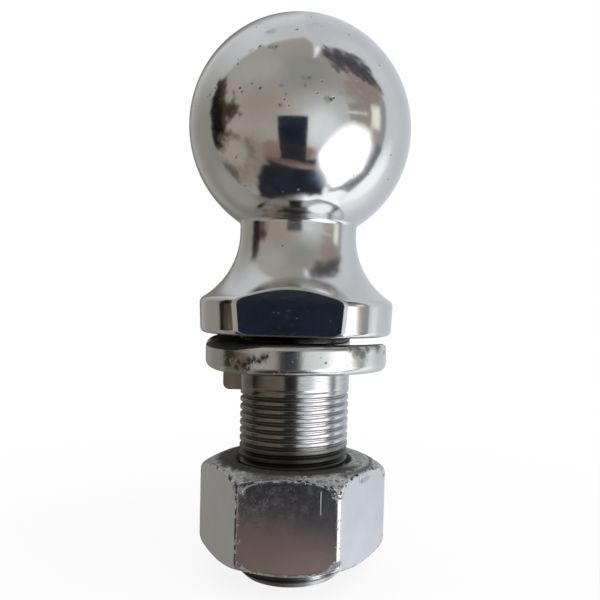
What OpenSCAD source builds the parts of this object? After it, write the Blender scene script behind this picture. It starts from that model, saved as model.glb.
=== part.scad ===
// Trailer tow ball with its split lock washer and hexagon nut.
// Millimetres, +Z up. The origin is the middle of the flange's underside, where the shank leaves it.

/* [Ball] */
// Diameter of the ball
ball_d = 50.8; // [45:0.1:60]
// Height of the ball's centre above the flange's underside
ball_height = 46.8; // [44:0.1:60]

/* [Neck] */
// Diameter of the neck at its narrowest
neck_d = 26.9; // [22:0.1:32]
// Height of the narrowest point above the flange's underside
neck_height = 23.1; // [21:0.1:24]
// Radius of the flare from the neck down to the flange
flare_r = 17.7; // [16.5:0.1:20]
// Fillet where the ball runs into the neck
neck_fillet = 1.2; // [0.5:0.1:2]

/* [Flange] */
// Diameter of the flange
flange_d = 44.8; // [43:0.1:48]
// Radius of the flange's upper corner, under the flare
rim_round = 1.8; // [0.5:0.1:3]
// Radius of the flange's lower corner
seat_round = 1.2; // [0.4:0.1:2]
// Width across the two wrench flats
flats_width = 38.1; // [36:0.1:42]
// Turn of the wrench flats about the axis, in degrees
flats_turn = -3.5; // [-45:0.5:45]

/* [Shank] */
// Diameter of the shank and of its thread's crests
shank_d = 25.4; // [22:0.1:26.5]
// Length of the shank below the flange
shank_length = 56; // [54:0.5:70]
// Length of the plain stretch above the thread
plain_length = 11.7; // [9:0.1:20]
// Pitch of the right-hand thread
thread_pitch = 1.814; // [1.5:0.001:2.6]
// Width of the thread's flat crest, along the axis
crest_width = 0.8; // [0.2:0.05:0.9]
// Width of the thread's flat root, along the axis
root_width = 0.2; // [0.1:0.05:0.45]
// Step in radius from the plain stretch down to the thread
thread_step = 0.05; // [0.02:0.01:0.2]
// Fillet between the flange's underside and the shank
shank_fillet = 0.6; // [0.2:0.1:0.8]
// Chamfer on the shank's end, along the radius and along the axis
end_chamfer = 1.5; // [0.5:0.1:2.5]

/* [Lock washer] */
// Radial clearance between the shank and the washer
washer_clearance = 0.3; // [0.2:0.05:0.6]
// Width of the washer's section, along the radius
washer_width = 8; // [6:0.1:9]
// Thickness of the washer's section, along the axis
washer_thickness = 6.35; // [4:0.05:6.6]
// Radius of the section's outer edges
washer_round = 1.2; // [0.4:0.1:2]
// Radius of the section's inner edges
washer_inner_round = 0.4; // [0.2:0.1:1]
// Drop from the washer's upper end to its lower end, over a whole turn
washer_drop = 8; // [6.8:0.1:9]
// Lean of the loose washer on the shank, in degrees
washer_lean = 4.8; // [0:0.1:6]
// Shift of the loose washer towards +X, within its clearance
washer_shift = 0.2; // [-0.3:0.05:0.3]
// Direction of the split, in degrees from +X
split_turn = 155; // [90:1:200]
// Opening of the split, in degrees
split_gap = 8; // [4:1:20]
// Gap between the flange and the highest point of the washer
washer_top_gap = 0.3; // [0.2:0.05:1]

/* [Nut] */
// Width across the nut's flats
nut_width = 38.1; // [36:0.1:42]
// Height of the nut
nut_height = 21.8; // [16:0.1:24]
// Turn of the nut about the axis, in degrees
nut_turn = -2; // [-30:0.5:30]
// Diameter of the flat ring on each end of the nut
nut_face_d = 35.2; // [32:0.1:37]
// Angle of the chamfer round each end, in degrees from the end's plane
nut_chamfer_angle = 25; // [15:1:35]
// Radius that rounds the chamfer over into the corners
nut_corner_round = 2.4; // [1:0.1:3]
// Radial clearance between the shank and the nut's bore
nut_clearance = 0.05; // [0.03:0.01:0.1]
// Countersink at each end of the nut's bore
nut_countersink = 1; // [0.3:0.1:1.5]
// Length of shank that stands out below the nut
nut_standoff = 4.9; // [3:0.1:12]

/* [Hidden] */

$fn = 96;
overlap = 0.01;

ball_r = ball_d / 2;
neck_r = neck_d / 2;
flange_r = flange_d / 2;
shank_r = shank_d / 2;

// The flare is an arc that stands upright at the neck. The rim's corner touches it and the rim.
flare_centre_r = neck_r + flare_r;
rim_centre_r = flange_r - rim_round;
rim_height = neck_height - sqrt(pow(flare_r + rim_round, 2) - pow(flare_centre_r - rim_centre_r, 2));
touch_share = flare_r / (flare_r + rim_round);
touch_r = flare_centre_r + (rim_centre_r - flare_centre_r) * touch_share;

// The fillet under the ball touches the ball and the neck.
fillet_centre_r = neck_r + neck_fillet;
fillet_height = ball_height - sqrt(pow(ball_r + neck_fillet, 2) - pow(fillet_centre_r, 2));
ball_touch_height = ball_height - (ball_height - fillet_height) * ball_r / (ball_r + neck_fillet);

// The thread is one groove that winds down the shank, with flat crests and roots. Each step of the
// groove has four points: upper crest edge, upper root edge, lower root edge and lower crest edge.
// The groove starts and ends shallow, and reaches its full depth over half a turn.
flank_angle = 30;
thread_steps = 30;
groove_width = thread_pitch - crest_width;
groove_depth = (groove_width - root_width) / 2 / tan(flank_angle);
groove_start = -plain_length - crest_width - groove_width / 2;
groove_room = shank_length - plain_length - 2 * crest_width - groove_width;
groove_steps = floor(groove_room / thread_pitch * thread_steps);
fade_steps = thread_steps / 2;
end_share = 0.1;

function thread_angle(i) = -360 * i / thread_steps;
function groove_share(i) = min(1, end_share + (1 - end_share) * min(i, groove_steps - i) / fade_steps);
function chamfer_r(z) = min(shank_r, shank_r - end_chamfer + z + shank_length);
function groove_point(i, k) =
    let (crest = k == 0 || k == 3,
        depth = groove_depth * groove_share(i),
        half = root_width / 2 + (crest ? depth * tan(flank_angle) : 0),
        z = groove_start - thread_pitch * i / thread_steps + (k < 2 ? half : -half),
        r = min(chamfer_r(z), crest ? shank_r : shank_r - depth))
    [r * cos(thread_angle(i)), r * sin(thread_angle(i)), z];
function ring_points(r, z) =
    [for (i = [0:thread_steps - 1]) [r * cos(thread_angle(i)), r * sin(thread_angle(i)), z]];

// The washer's section, as [radius, height] points from the middle of the section.
washer_bore_r = shank_r + washer_clearance;
washer_edge_steps = 3;
washer_step_angle = 5;
washer_turn = 360 - split_gap;
washer_steps = ceil(washer_turn / washer_step_angle);
washer_mean_r = washer_bore_r + washer_width / 2;

function corner(x, y, r, from) =
    [for (i = [0:washer_edge_steps])
        let (a = from + 90 * i / washer_edge_steps)
        [x + r * cos(a), y + r * sin(a)]];

washer_section = concat(
    corner(washer_width / 2 - washer_round, -washer_thickness / 2 + washer_round, washer_round, -90),
    corner(washer_width / 2 - washer_round, washer_thickness / 2 - washer_round, washer_round, 0),
    corner(-washer_width / 2 + washer_inner_round, washer_thickness / 2 - washer_inner_round,
        washer_inner_round, 90),
    corner(-washer_width / 2 + washer_inner_round, -washer_thickness / 2 + washer_inner_round,
        washer_inner_round, 180));

// Height of the section's middle at step i of the coil, with no lean. The coil starts at its upper
// end and runs down anticlockwise, seen from above.
function coil_angle(i) = split_turn + split_gap / 2 + washer_turn * i / washer_steps;
function coil_height(i) = -washer_drop * washer_turn / 360 * i / washer_steps;
function lean_height(x) = tan(washer_lean) * x;
function coil_point(i, p) =
    let (a = coil_angle(i), x = (washer_mean_r + p[0]) * cos(a), y = (washer_mean_r + p[0]) * sin(a))
    [x, y, coil_height(i) + lean_height(x) + p[1]];
coil_points = [for (i = [0:washer_steps]) for (p = washer_section) coil_point(i, p)];
coil_top = max([for (p = coil_points) p[2]]);

nut_sides = 6;
nut_bore_r = shank_r + nut_clearance;
nut_corner_r = nut_width / 2 / cos(180 / nut_sides);
nut_bottom = -shank_length + nut_standoff;

// Half section of the neck and flange, on one side of the axis.
module upper_profile() {
    difference() {
        union() {
            square([touch_r, neck_height]);
            square([fillet_centre_r, ball_touch_height]);
        }
        translate([flare_centre_r, neck_height]) circle(r = flare_r);
        translate([neck_r, neck_height]) square([fillet_centre_r, fillet_height - neck_height]);
        translate([fillet_centre_r, fillet_height]) circle(r = neck_fillet);
    }
    translate([0, seat_round]) square([flange_r, rim_height - seat_round]);
    square([flange_r - seat_round, rim_height]);
    translate([flange_r - seat_round, seat_round]) circle(r = seat_round);
    translate([rim_centre_r, rim_height]) circle(r = rim_round);
}

// Half section of the plain shank, with the fillet at its root.
module shank_profile() {
    difference() {
        translate([0, -shank_fillet]) square([shank_r + shank_fillet, shank_fillet + overlap]);
        translate([shank_r + shank_fillet, -shank_fillet]) circle(r = shank_fillet);
    }
    translate([0, -plain_length]) square([shank_r, plain_length + overlap]);
}

// The threaded length, down to the flat end inside its chamfer.
module threaded_shank() {
    n = thread_steps;
    last = groove_steps;
    points = concat(
        ring_points(shank_r - thread_step, -plain_length),
        ring_points(shank_r - end_chamfer, -shank_length),
        [for (i = [0:last]) for (k = [0:3]) groove_point(i, k)]);
    function at(i, k) = 2 * n + 4 * i + k;
    function low(i) = n + i % n;
    top = [for (i = [0:n - 1]) i];
    bottom = [for (i = [n - 1:-1:0]) n + i];
    groove = [for (i = [0:last - 1]) for (k = [0:2])
        [at(i, k), at(i, k + 1), at(i + 1, k + 1), at(i + 1, k)]];
    groove_top = [for (k = [0, 3, 2, 1]) at(0, k)];
    groove_end = [for (k = [0:3]) at(last, k)];
    crest = [for (i = [0:last - n - 1]) [at(i, 3), at(i + n, 0), at(i + n + 1, 0), at(i + 1, 3)]];
    above = [for (i = [0:n - 2]) [i, at(i, 0), at(i + 1, 0), i + 1]];
    above_seam = [n - 1, at(n - 1, 0), at(n, 0), at(0, 3), at(0, 0), 0];
    below = [for (i = [last - n + 1:last - 1]) [at(i, 3), low(i), low(i + 1), at(i + 1, 3)]];
    below_seam = [at(last - n, 3), at(last, 0), at(last, 3), low(last), low(last + 1), at(last - n + 1, 3)];
    polyhedron(points = points, convexity = 10, faces = concat(groove, crest, above, below,
        [top, bottom, groove_top, groove_end, above_seam, below_seam]));
}

module flats_cut() {
    cut_size = flange_d;
    for (side = [-1, 1])
        rotate([0, 0, flats_turn])
            translate([-cut_size / 2, side > 0 ? flats_width / 2 : -flats_width / 2 - cut_size, -overlap])
                cube([cut_size, cut_size, neck_height]);
}

module ball_stud() {
    color("gainsboro") {
        difference() {
            rotate_extrude() upper_profile();
            flats_cut();
        }
        translate([0, 0, ball_height]) sphere(r = ball_r);
        rotate_extrude() shank_profile();
        threaded_shank();
    }
}

module lock_washer() {
    n = len(washer_section);
    sides = [for (i = [0:washer_steps - 1]) for (k = [0:n - 1])
        [i * n + k, (i + 1) * n + k, (i + 1) * n + (k + 1) % n, i * n + (k + 1) % n]];
    first_end = [for (k = [0:n - 1]) k];
    last_end = [for (k = [n - 1:-1:0]) washer_steps * n + k];
    color("darkgray")
        translate([washer_shift, 0, -washer_top_gap - coil_top])
            polyhedron(points = coil_points, faces = concat([first_end], sides, [last_end]), convexity = 6);
}

// Half section that cuts the hexagon: a chamfer at each end, rounded over towards the corners.
module nut_profile() {
    face_r = nut_face_d / 2;
    half = nut_height / 2;
    round_r = nut_corner_r - nut_corner_round;
    slope_r = round_r + nut_corner_round * sin(nut_chamfer_angle);
    slope_drop = (slope_r - face_r) * tan(nut_chamfer_angle);
    round_height = half - slope_drop - nut_corner_round * cos(nut_chamfer_angle);
    for (end = [0, 1])
        mirror([0, end]) {
            polygon([[0, -overlap], [nut_corner_r, -overlap], [nut_corner_r, round_height],
                [round_r, round_height], [slope_r, half - slope_drop], [face_r, half], [0, half]]);
            translate([round_r, round_height]) circle(r = nut_corner_round);
        }
}

module nut_bore() {
    cylinder(r = nut_bore_r, h = 2 * nut_height, center = true);
    for (end = [0, 1])
        mirror([0, 0, end])
            translate([0, 0, nut_height / 2 - nut_countersink])
                cylinder(r1 = nut_bore_r, r2 = nut_bore_r + nut_countersink + overlap,
                    h = nut_countersink + overlap);
}

module hex_nut() {
    color("silver")
        translate([0, 0, nut_bottom + nut_height / 2])
            rotate([0, 0, nut_turn])
                difference() {
                    intersection() {
                        cylinder(r = nut_corner_r, h = nut_height, center = true, $fn = nut_sides);
                        rotate_extrude() nut_profile();
                    }
                    nut_bore();
                }
}

ball_stud();
lock_washer();
hex_nut();
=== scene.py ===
import math

import bmesh
import bpy
import numpy as np
from mathutils import Matrix, Vector


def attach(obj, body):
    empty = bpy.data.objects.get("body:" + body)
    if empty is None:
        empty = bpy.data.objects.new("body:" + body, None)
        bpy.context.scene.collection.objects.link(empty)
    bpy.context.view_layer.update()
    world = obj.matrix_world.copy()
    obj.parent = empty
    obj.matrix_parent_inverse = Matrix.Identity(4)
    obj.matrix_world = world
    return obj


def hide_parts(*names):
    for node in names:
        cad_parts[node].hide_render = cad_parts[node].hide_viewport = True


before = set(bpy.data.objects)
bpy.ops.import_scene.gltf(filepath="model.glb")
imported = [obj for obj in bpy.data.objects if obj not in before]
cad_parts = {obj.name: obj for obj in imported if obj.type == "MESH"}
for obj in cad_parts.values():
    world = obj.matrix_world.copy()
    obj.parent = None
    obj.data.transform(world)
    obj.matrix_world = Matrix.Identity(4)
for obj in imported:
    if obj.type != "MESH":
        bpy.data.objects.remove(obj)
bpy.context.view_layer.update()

MM = 0.001

# Sizes in millimetres and angles in degrees, as in the CAD source.
BALL_R, BALL_Z = 25.4, 46.8
NECK_R, NECK_Z, FLARE_R, NECK_FILLET = 13.45, 23.1, 17.7, 1.2
FLANGE_R, RIM_ROUND, SEAT_ROUND, FLATS_HALF, FLATS_TURN = 22.4, 1.8, 1.2, 19.05, -3.5
SHANK_R, SHANK_LENGTH, PLAIN_LENGTH, SHANK_FILLET, END_CHAMFER = 12.7, 56, 11.7, 0.6, 1.5
PITCH, CREST_WIDTH, ROOT_WIDTH, FLANK_ANGLE = 1.814, 0.8, 0.2, 30
WASHER_WIDTH, WASHER_THICKNESS, WASHER_ROUND, WASHER_INNER_ROUND = 8, 6.35, 1.2, 0.4
WASHER_CLEARANCE, WASHER_TOP_GAP, WASHER_DROP, WASHER_LEAN, WASHER_SHIFT = 0.3, 0.3, 8, 4.8, 0.2
SPLIT_TURN, SPLIT_GAP = 155, 8
NUT_HALF, NUT_HEIGHT, NUT_TURN, NUT_FACE_R, NUT_BOTTOM = 19.05, 21.8, -2, 17.6, -51.1
NUT_SLOPE, NUT_CORNER_ROUND, NUT_BORE_R, NUT_SINK = 25, 2.4, 12.75, 1

# What the meshes add to those forms, in millimetres. The rim tapers towards the seat. The wrench
# flats' edges are rounded, and the seat's corner is small where a flat cuts it.
RIM_DRAFT, FLAT_EDGE, SEAT_EDGE = 0.3, 0.4, 0.35
# The thread's crests and roots are rounded over this share of its depth.
THREAD_SOFTNESS = 0.3
# The washer's lower outer corner has a larger round, and its cut ends have a chamfer.
WASHER_LOW_ROUND, CUT_CHAMFER = 1.8, 0.3
# Its upper outer corner is worn: how far, and between which angles from +X the wear sets in.
WEAR, WEAR_START, WEAR_FULL = 0.7, -104, -134
# The worn face's slope and place in the section, how fast it moves in, and which way.
WEAR_SLOPE, WEAR_MARGIN, WEAR_GAIN, WEAR_WAY = 0.42, 0.35, 1.25, (0.22, 0.9)
# The nut's six corners and the edges of its chamfers are rounded.
NUT_EDGE, CHAMFER_EDGE = 0.7, 0.35

# Helpers

CELLS = 32
LATTICE = np.random.default_rng(11).random((CELLS, CELLS, CELLS))


def noise(p, scale):
    """Smooth noise from 0 to 1 at points p (..., 3), with scale cells for each unit of length."""
    q = np.asarray(p, float) * scale + 100
    cell = np.floor(q).astype(int)
    f = q - cell
    f = f * f * (3 - 2 * f)
    total = 0
    for corner in np.ndindex(2, 2, 2):
        weight = 1
        for axis, side in enumerate(corner):
            weight = weight * (f[..., axis] if side else 1 - f[..., axis])
        total = total + weight * LATTICE[tuple((cell[..., k] + corner[k]) % CELLS for k in range(3))]
    return total


def layered(p, scale, layers=3):
    """Noise in layers, each twice as fine and half as strong as the one before."""
    total, weight, strength = 0, 0, 1
    for k in range(layers):
        total = total + strength * noise(np.asarray(p) + 17.3 * k, scale * 2**k)
        weight += strength
        strength *= 0.5
    return total / weight


def soft_min(a, b, soft):
    """The smaller of a and b, rounded over where they are within soft of each other."""
    near = np.clip(soft - np.abs(a - b), 0, None) / soft
    return np.minimum(a, b) - near * near * soft / 4


def smooth(lo, hi, x):
    """0 at lo and 1 at hi, which may be the smaller, and smooth between."""
    t = np.clip((x - lo) / (hi - lo), 0, 1)
    return t * t * (3 - 2 * t)


def unit(v):
    return v / np.maximum(np.linalg.norm(v, axis=-1, keepdims=True), 1e-15)


def linked(name, data):
    """A new object that holds data, in the scene."""
    obj = bpy.data.objects.new(name, data)
    bpy.context.collection.objects.link(obj)
    return obj


class Shell:
    """Grids of points gathered into one closed mesh, with a normal and three marks for each point."""

    def __init__(self):
        self.points, self.normals, self.marks, self.faces, self.count = [], [], [], [], 0

    def add(self, points, normals, marks=None, seam=0):
        """Adds a grid of points (rows, columns, 3) that closes across its columns. Row k + seam of the
        last column meets row k of the first."""
        rows, cols = points.shape[:2]
        grid = self.count + np.arange(rows * cols).reshape(rows, cols)
        self.points.append(points.reshape(-1, 3))
        self.normals.append(normals.reshape(-1, 3))
        self.marks.append(np.zeros((rows * cols, 3)) if marks is None else marks.reshape(-1, 3))
        self.count += rows * cols
        quads = np.stack([grid[:-1, :-1], grid[1:, :-1], grid[1:, 1:], grid[:-1, 1:]], -1)
        self.faces.append(quads.reshape(-1, 4))
        last, first = grid[seam:, -1], grid[: rows - seam, 0]
        self.faces.append(np.stack([last[:-1], last[1:], first[1:], first[:-1]], -1))
        if seam:
            # One triangle fills the notch where the seam starts.
            self.faces.append(np.array([[grid[seam - 1, -1], last[0], first[0], first[0]]]))

    def build(self, name):
        """Joins the points that coincide, drops the faces that this flattens, and makes the object."""
        gathered = (self.points, self.normals, self.marks, self.faces)
        points, normals, marks, faces = (np.concatenate(x) for x in gathered)
        # Points coincide when they round to the same 0.0001 mm. The shift keeps round sizes off a tie.
        rounded = np.round(points / 1e-4 + 0.317).astype(np.int64)
        _, first, joined = np.unique(rounded, axis=0, return_index=True, return_inverse=True)
        kept = []
        for face in joined.reshape(-1)[faces].tolist():
            face = [v for k, v in enumerate(face) if v != face[k - 1]]
            if len(face) >= 3 and len(set(face)) == len(face):
                kept.append(face)
        used = np.zeros(len(first), bool)
        used[[v for face in kept for v in face]] = True
        place = np.cumsum(used) - 1
        points, normals, marks = (x[first][used] for x in (points, normals, marks))
        mesh = bpy.data.meshes.new(name)
        mesh.from_pydata((points * MM).tolist(), [], [[int(place[v]) for v in face] for face in kept])
        outward = bmesh.new()
        outward.from_mesh(mesh)
        bmesh.ops.recalc_face_normals(outward, faces=outward.faces)
        outward.to_mesh(mesh)
        outward.free()
        # A normal that doesn't agree with the faces round its point gives way to theirs.
        facing = np.zeros(len(points) * 3, np.float32)
        mesh.vertex_normals.foreach_get("vector", facing)
        facing = facing.reshape(-1, 3)
        agree = np.sum(normals * facing, axis=1, keepdims=True)
        normals = np.where(np.abs(agree) < 0.5, facing, normals * np.sign(agree))
        mesh.polygons.foreach_set("use_smooth", [True] * len(mesh.polygons))
        for k, mark in enumerate(("edge", "worn", "corner")):
            layer = mesh.attributes.new(mark, "FLOAT", "POINT")
            layer.data.foreach_set("value", marks[:, k].astype(np.float32))
        mesh.normals_split_custom_set_from_vertices(normals.tolist())
        return linked(name, mesh)


def sweep(shell, surface, rows, columns, marks=None, nudge=1e-4, seam=0):
    """Adds surface(u, v) over a grid, with rows for u and columns for v, and normals from its slopes."""
    u, v = np.meshgrid(rows, columns, indexing="ij")
    lo, hi = rows.min(), rows.max()
    along = surface(np.clip(u + nudge, lo, hi), v) - surface(np.clip(u - nudge, lo, hi), v)
    across = surface(u, v + nudge) - surface(u, v - nudge)
    normals = unit(np.cross(along, across))
    shell.add(surface(u, v), normals, None if marks is None else marks(u, v), seam)


def all_round(centres, *stops):
    """Angles in radians. A stop is an angle from each centre and the step after it, in degrees."""
    out = []
    for centre in centres:
        for (a, step), (b, _) in zip(stops[:-1], stops[1:]):
            n = max(1, int(round((b - a) / step)))
            out.extend(centre + a + (b - a) * k / n for k in range(n))
    return np.radians(out)


def shares(n, lo=0, hi=1):
    return np.linspace(lo, hi, n + 1)


def turned(profile):
    """The surface that a profile (share, angle) -> (radius, height) makes when it is turned."""

    def place(u, th):
        r, z = profile(u, th)
        return np.stack([r * np.cos(th), r * np.sin(th), z + 0 * th], -1)

    return place


def cone(z0, r0, z1, r1):
    """The surface from radius r0 at height z0 to radius r1 at height z1."""
    return turned(lambda u, th: (r0 + (r1 - r0) * u, z0 + (z1 - z0) * u))


def arc(x, z, radius, angle):
    return x + radius * np.cos(angle), z + radius * np.sin(angle)


# Ball stud

flare_x = NECK_R + FLARE_R
rim_x = FLANGE_R - RIM_ROUND
rim_z = NECK_Z - math.sqrt((FLARE_R + RIM_ROUND) ** 2 - (flare_x - rim_x) ** 2)
rim_touch = math.atan2(NECK_Z - rim_z, flare_x - rim_x)
fillet_x = NECK_R + NECK_FILLET
fillet_z = BALL_Z - math.sqrt((BALL_R + NECK_FILLET) ** 2 - fillet_x**2)
ball_touch = math.atan2(fillet_z - BALL_Z, fillet_x)
# The seat's corner is small where the flats leave less than the first radius, and full from the second.
SEAT_CUT, SEAT_WHOLE = 20.9, 22.1


def flat_limit(th):
    """Distance from the axis to the wrench flats, in direction th."""
    return FLATS_HALF / np.maximum(np.abs(np.sin(th - math.radians(FLATS_TURN))), 0.1)


def cut(radius, th):
    """The radius, cut by the wrench flats."""
    return soft_min(radius, flat_limit(th), FLAT_EDGE)


def rim_radius(z):
    return FLANGE_R - RIM_DRAFT * np.clip((rim_z - z) / rim_z, 0, 1)


def seat_corner(th):
    """Outer radius just above the seat's corner, and that corner's own radius."""
    full = smooth(SEAT_CUT, SEAT_WHOLE, cut(rim_radius(SEAT_ROUND), th))
    corner = SEAT_EDGE + (SEAT_ROUND - SEAT_EDGE) * full
    return cut(rim_radius(corner), th), corner


def shank_fillet_profile(u, th):
    return arc(SHANK_R + SHANK_FILLET, -SHANK_FILLET, SHANK_FILLET, math.pi * (1 - u / 2))


def seat_profile(u, th):
    out, corner = seat_corner(th)
    start = SHANK_R + SHANK_FILLET
    return start + (out - corner - start) * u, 0 * u


def seat_corner_profile(u, th):
    out, corner = seat_corner(th)
    return arc(out - corner, corner, corner, math.pi / 2 * (u - 1))


def rim_profile(u, th):
    corner = seat_corner(th)[1]
    z = corner + (rim_z - corner) * u
    return cut(rim_radius(z), th), z


def rim_corner_profile(u, th):
    r, z = arc(rim_x, rim_z, RIM_ROUND, rim_touch * u)
    return cut(r, th), z


def flare_profile(u, th):
    r, z = arc(flare_x, NECK_Z, FLARE_R, math.pi + rim_touch * (1 - u))
    return cut(r, th), z


def neck_fillet_profile(u, th):
    return arc(fillet_x, fillet_z, NECK_FILLET, math.pi + ball_touch * u)


def ball_profile(u, th):
    return arc(0, BALL_Z, BALL_R, ball_touch + (math.pi / 2 - ball_touch) * u)


# Columns round the stud lie closest where the wrench flats meet the rim.
flat_centres = (-90 + FLATS_TURN, 90 + FLATS_TURN)
stud_columns = all_round(flat_centres, (-35, 0.35), (-29, 0.75), (29, 0.35), (35, 2.5), (145, 0))

stud = Shell()
for surface, rows in (
    (cone(-SHANK_FILLET, 0, -SHANK_FILLET, SHANK_R), shares(1)),
    (turned(shank_fillet_profile), shares(4)),
    (turned(seat_profile), shares(4)),
    (turned(seat_corner_profile), shares(5)),
    (turned(rim_profile), shares(28)),
    (turned(rim_corner_profile), shares(11)),
    (turned(flare_profile), np.concatenate([shares(22, 0, 0.2), shares(26, 0.2, 1)[1:]])),
    (cone(NECK_Z, NECK_R, fillet_z, NECK_R), shares(1)),
    (turned(neck_fillet_profile), shares(6)),
    (turned(ball_profile), shares(64)),
):
    sweep(stud, surface, rows, stud_columns)

FLANK_SLOPE = math.tan(math.radians(FLANK_ANGLE))
THREAD_DEPTH = (PITCH - CREST_WIDTH - ROOT_WIDTH) / 2 / FLANK_SLOPE
THREAD_TOP, THREAD_END = -PLAIN_LENGTH, -SHANK_LENGTH
# The thread's rows start a little above it, and it deepens over its first stretch.
ROWS_TOP, THREAD_RUN_IN = THREAD_TOP + 0.2, 2.6
# The shank's shell starts just above the lower end of the flange's fillet.
SHANK_TOP = -SHANK_FILLET + 0.05


def groove_share(w):
    """Depth of the thread's groove at height w of its helix, 0 at the crest and 1 at the root."""
    from_root = np.abs((w / PITCH) % 1 - 0.5) * PITCH
    share = 1 - (from_root - ROOT_WIDTH / 2) / THREAD_DEPTH / FLANK_SLOPE
    share = np.clip(share, -THREAD_SOFTNESS, 1 + THREAD_SOFTNESS)
    square = THREAD_SOFTNESS * THREAD_SOFTNESS
    rest = 1 - 0.5 * (share + np.sqrt(share * share + square))
    return 1 - 0.5 * (rest + np.sqrt(rest * rest + square))


def thread_surface(w, th):
    z = w + PITCH * th / (2 * math.pi)
    r = SHANK_R - THREAD_DEPTH * groove_share(w) * smooth(0, THREAD_RUN_IN, THREAD_TOP - z)
    z = np.clip(z, THREAD_END, ROWS_TOP)
    r = np.minimum(r, SHANK_R - END_CHAMFER + z - THREAD_END)
    return np.stack([r * np.cos(th), r * np.sin(th), z], -1)


# Rows within one pitch, closer at the corners of the groove.
pitch_rows = [0, 0.12, 0.19, 0.23, 0.27, 0.32, 0.38, 0.44, 0.5, 0.56, 0.62, 0.68, 0.73, 0.77, 0.81, 0.88]
turns = int(math.ceil((ROWS_TOP - THREAD_END) / PITCH)) + 2
thread_rows = ROWS_TOP - PITCH * np.concatenate([np.array(pitch_rows) + k for k in range(turns)])
shank_columns = np.linspace(0, 2 * math.pi, 96, endpoint=False)
sweep(stud, thread_surface, thread_rows, shank_columns, nudge=2e-3, seam=len(pitch_rows))
sweep(stud, cone(SHANK_TOP, 0, SHANK_TOP, SHANK_R), shares(1), shank_columns)
sweep(stud, cone(SHANK_TOP, SHANK_R, ROWS_TOP, SHANK_R), shares(6), shank_columns)
sweep(stud, cone(THREAD_END, 0, THREAD_END, SHANK_R - END_CHAMFER), shares(6), shank_columns)
stud_obj = stud.build("tow_ball_stud")

# Lock washer

washer = Shell()
mean_r = SHANK_R + WASHER_CLEARANCE + WASHER_WIDTH / 2
turn = 360 - SPLIT_GAP
start = SPLIT_TURN + SPLIT_GAP / 2
# Steps round a section's outer and inner corners, and the step along its flat stretches in mm.
OUTER_STEPS, INNER_STEPS, FLAT_STEP = 16, 5, 0.7


def washer_section(inset):
    """Points round the washer's section, drawn in by inset, with its flat stretches filled in."""
    w, t = WASHER_WIDTH / 2 - inset, WASHER_THICKNESS / 2 - inset
    low, out = max(WASHER_LOW_ROUND - inset, 0.15), max(WASHER_ROUND - inset, 0.15)
    inner = max(WASHER_INNER_ROUND - inset, 0.1)
    corners = []
    for x, z, r, first, steps in (
        (w - low, -t + low, low, -90, OUTER_STEPS),
        (w - out, t - out, out, 0, OUTER_STEPS),
        (-w + inner, t - inner, inner, 90, INNER_STEPS),
        (-w + inner, -t + inner, inner, 180, INNER_STEPS),
    ):
        for k in range(steps + 1):
            a = math.radians(first + 90 * k / steps)
            corners.append((x + r * math.cos(a), z + r * math.sin(a)))
    corners = np.array(corners)
    filled = []
    for p, q in zip(corners, np.roll(corners, -1, 0)):
        n = max(1, int(round(np.linalg.norm(q - p) / FLAT_STEP)))
        filled.extend(p + (q - p) * j / n for j in range(n))
    return np.array(filled)


def washer_loop(angle, inset):
    """The section's points at an angle from +X along the coil, worn on the photograph's left."""
    p = washer_section(inset)
    wear = WEAR * smooth(WEAR_START, WEAR_FULL, (angle + 180) % 360 - 180)
    face = WASHER_WIDTH / 2 * WEAR_SLOPE + WASHER_THICKNESS / 2 - WEAR_MARGIN
    depth = np.clip(p[:, 0] * WEAR_SLOPE + p[:, 1] - face + wear * WEAR_GAIN, 0, None)
    depth = np.where((p[:, 1] > 0) & (wear > 0.01), depth, 0)
    p = p - depth[:, None] * np.array(WEAR_WAY)
    r, a = mean_r + p[:, 0], math.radians(angle)
    x, y = r * math.cos(a), r * math.sin(a)
    drop = -WASHER_DROP * turn / 360 * ((angle - start) / turn)
    return np.stack([x, y, drop + math.tan(math.radians(WASHER_LEAN)) * x + p[:, 1]], -1)


# The first and last three loops make the chamfers round the cut ends.
LOOPS, FIRST_STEP = 230, 2
end_step = math.degrees(CUT_CHAMFER / mean_r)
angles = [start, start + end_step * 0.3, start + end_step]
angles += list(np.linspace(start + FIRST_STEP, start + turn - FIRST_STEP, LOOPS))
angles += [start + turn - end_step, start + turn - end_step * 0.3, start + turn]
insets = [CUT_CHAMFER, 0.08, 0] + [0] * LOOPS + [0, 0.08, CUT_CHAMFER]
loops = np.array([washer_loop(a, g) for a, g in zip(angles, insets)])
# Each cut end closes on a point in its middle.
caps = [np.tile(loops[k].mean(0), (1, loops.shape[1], 1)) for k in (0, -1)]
loops = np.concatenate([caps[0], loops, caps[1]])
washer_top = max(washer_loop(a, 0)[:, 2].max() for a in np.linspace(start, start + turn, 721))
loops[..., 2] += -WASHER_TOP_GAP - washer_top
loops[..., 0] += WASHER_SHIFT
# Normals come from the neighbours along the coil and round the section.
along = np.concatenate([loops[1:2] - loops[:1], loops[2:] - loops[:-2], loops[-1:] - loops[-2:-1]])
across = np.roll(loops, -1, 1) - np.roll(loops, 1, 1)
washer.add(loops, unit(np.cross(along, across)))
washer_obj = washer.build("split_lock_washer")

# Nut

nut = Shell()
nut_half = NUT_HEIGHT / 2
nut_z = NUT_BOTTOM + nut_half
corner_r = NUT_HALF / math.cos(math.radians(30))
round_r = corner_r - NUT_CORNER_ROUND
slope = math.radians(NUT_SLOPE)
slope_r = round_r + NUT_CORNER_ROUND * math.sin(slope)
slope_drop = (slope_r - NUT_FACE_R) * math.tan(slope)
round_h = nut_half - slope_drop - NUT_CORNER_ROUND * math.cos(slope)


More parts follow.
